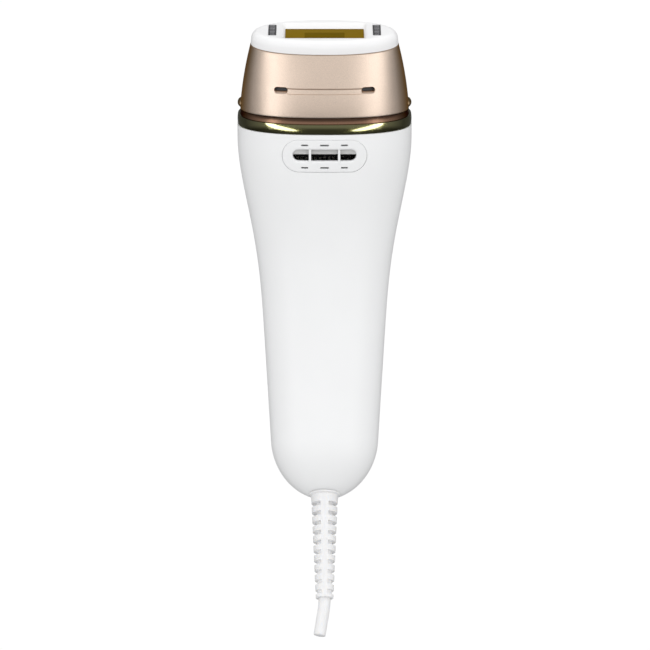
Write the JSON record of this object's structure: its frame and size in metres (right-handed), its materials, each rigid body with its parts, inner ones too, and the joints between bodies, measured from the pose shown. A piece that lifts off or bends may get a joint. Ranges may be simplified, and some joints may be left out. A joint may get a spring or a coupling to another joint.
{
  "type": "ipl hair remover",
  "caption": "Corded curved white handle with a clip-on metallic treatment head, flash lamp, cooling fan, buttons and a flexible cord guard.",
  "frame": {"origin": "centre of the flat treatment face, over the window", "axes": "+Z along the handle towards the head, +X across the width, -Y towards the side with the air vent, +Y towards the buttons"},
  "size_m": [0.0666, 0.0573, 0.2335],
  "materials": {
    "white_gloss": "glossy moulded white",
    "face_white": "glossy moulded white",
    "vent_white": "satin moulded white",
    "rose_gold": "fine metallic lacquer",
    "bronze_chrome": "polished dark gold",
    "amber_glass": "coated filter glass",
    "clear_glass": "quartz",
    "lens": "translucent",
    "sensor_dark": "smoked window",
    "flex_white": "soft satin",
    "dark_plastic": "moulded black",
    "light_plastic": "moulded grey white",
    "heat_plastic": "heat resistant moulding",
    "steel": "plated steel",
    "mirror_metal": "polished reflector",
    "sink_metal": "extruded aluminium",
    "brass": "gold plated",
    "copper": "enamelled copper winding",
    "winding": "taped winding and ferrite",
    "board": "solder resist",
    "can": "sleeved can",
    "led": "diffuse",
    "seal": "silicone",
    "lead_brown": "insulated",
    "lead_red": "insulated"
  },
  "bodies": {
    "handle": {"front_shell": "white_gloss", "rear_shell": "white_gloss", "collar_ring": "bronze_chrome", "vent_grille": "vent_white", "vent_mesh": "dark_plastic", "button_trim": "rose_gold", "indicator_lens": "lens", "cord_boot": "flex_white", "power_cord": "flex_white", "cord_clamp": "dark_plastic", "clamp_screws": "steel", "mains_leads": "lead_brown", "neck_deck": "dark_plastic", "deck_screws": "steel", "contact_block": "dark_plastic", "latch_springs": "steel", "lamp_tray": "heat_plastic", "lamp_cover": "heat_plastic", "lamp_screws": "steel", "lamp_window": "clear_glass", "window_seal": "seal", "reflector": "mirror_metal", "flash_lamp": "clear_glass", "lamp_electrodes": "steel", "lamp_holders": "heat_plastic", "lamp_leads": "lead_red", "trigger_coil": "copper", "fan_frame": "dark_plastic", "fan_stator": "copper", "fan_bearing": "brass", "air_duct": "light_plastic", "chassis": "dark_plastic", "chassis_screws": "steel", "main_capacitor": "can", "power_board": "board", "power_transformer": "winding", "power_parts": "dark_plastic", "heat_sink": "sink_metal", "control_board": "board", "control_chips": "dark_plastic", "status_leds": "led", "treatment_switch": "dark_plastic", "mode_switch": "dark_plastic", "board_screws": "steel"},
    "treatment_button": {"treatment_button": "white_gloss", "treatment_plunger": "dark_plastic"},
    "mode_button": {"mode_button": "white_gloss", "mode_plunger": "dark_plastic"},
    "fan_rotor": {"fan_impeller": "dark_plastic", "fan_axle": "steel"},
    "contact_pins": {"contact_plungers": "brass"},
    "head": {"head_shell": "rose_gold", "face_bezel": "face_white", "filter_glass": "amber_glass", "glass_gasket": "seal", "light_funnel": "mirror_metal", "head_carrier": "light_plastic", "skin_sensors": "sensor_dark", "sensor_boards": "board", "contact_pads": "brass"}
  },
  "joints": [
    {"name": "head_release", "type": "slide", "parent": "handle", "child": "head", "axis": [0, -0.2079, 0.9781], "range_m": [0, 0.04]},
    {"name": "treatment_button_press", "type": "slide", "parent": "handle", "child": "treatment_button", "axis": [0, -0.9998, -0.0205], "range_m": [0, 0.001], "stiffness_N_per_m": 900, "springref_m": -0.0005},
    {"name": "mode_button_press", "type": "slide", "parent": "handle", "child": "mode_button", "axis": [0, -0.9998, -0.0205], "range_m": [0, 0.0005], "stiffness_N_per_m": 900, "springref_m": -0.0005},
    {"name": "contact_press", "type": "slide", "parent": "handle", "child": "contact_pins", "axis": [0, 0.2079, -0.9781], "range_m": [0, 0.0006], "stiffness_N_per_m": 300, "springref_m": -0.0002},
    {"name": "fan_spin", "type": "hinge", "parent": "handle", "child": "fan_rotor", "pos_m": [0, 0.01524, -0.06826], "axis": [0, -0.1039, 0.9946], "continuous": true}
  ]
}
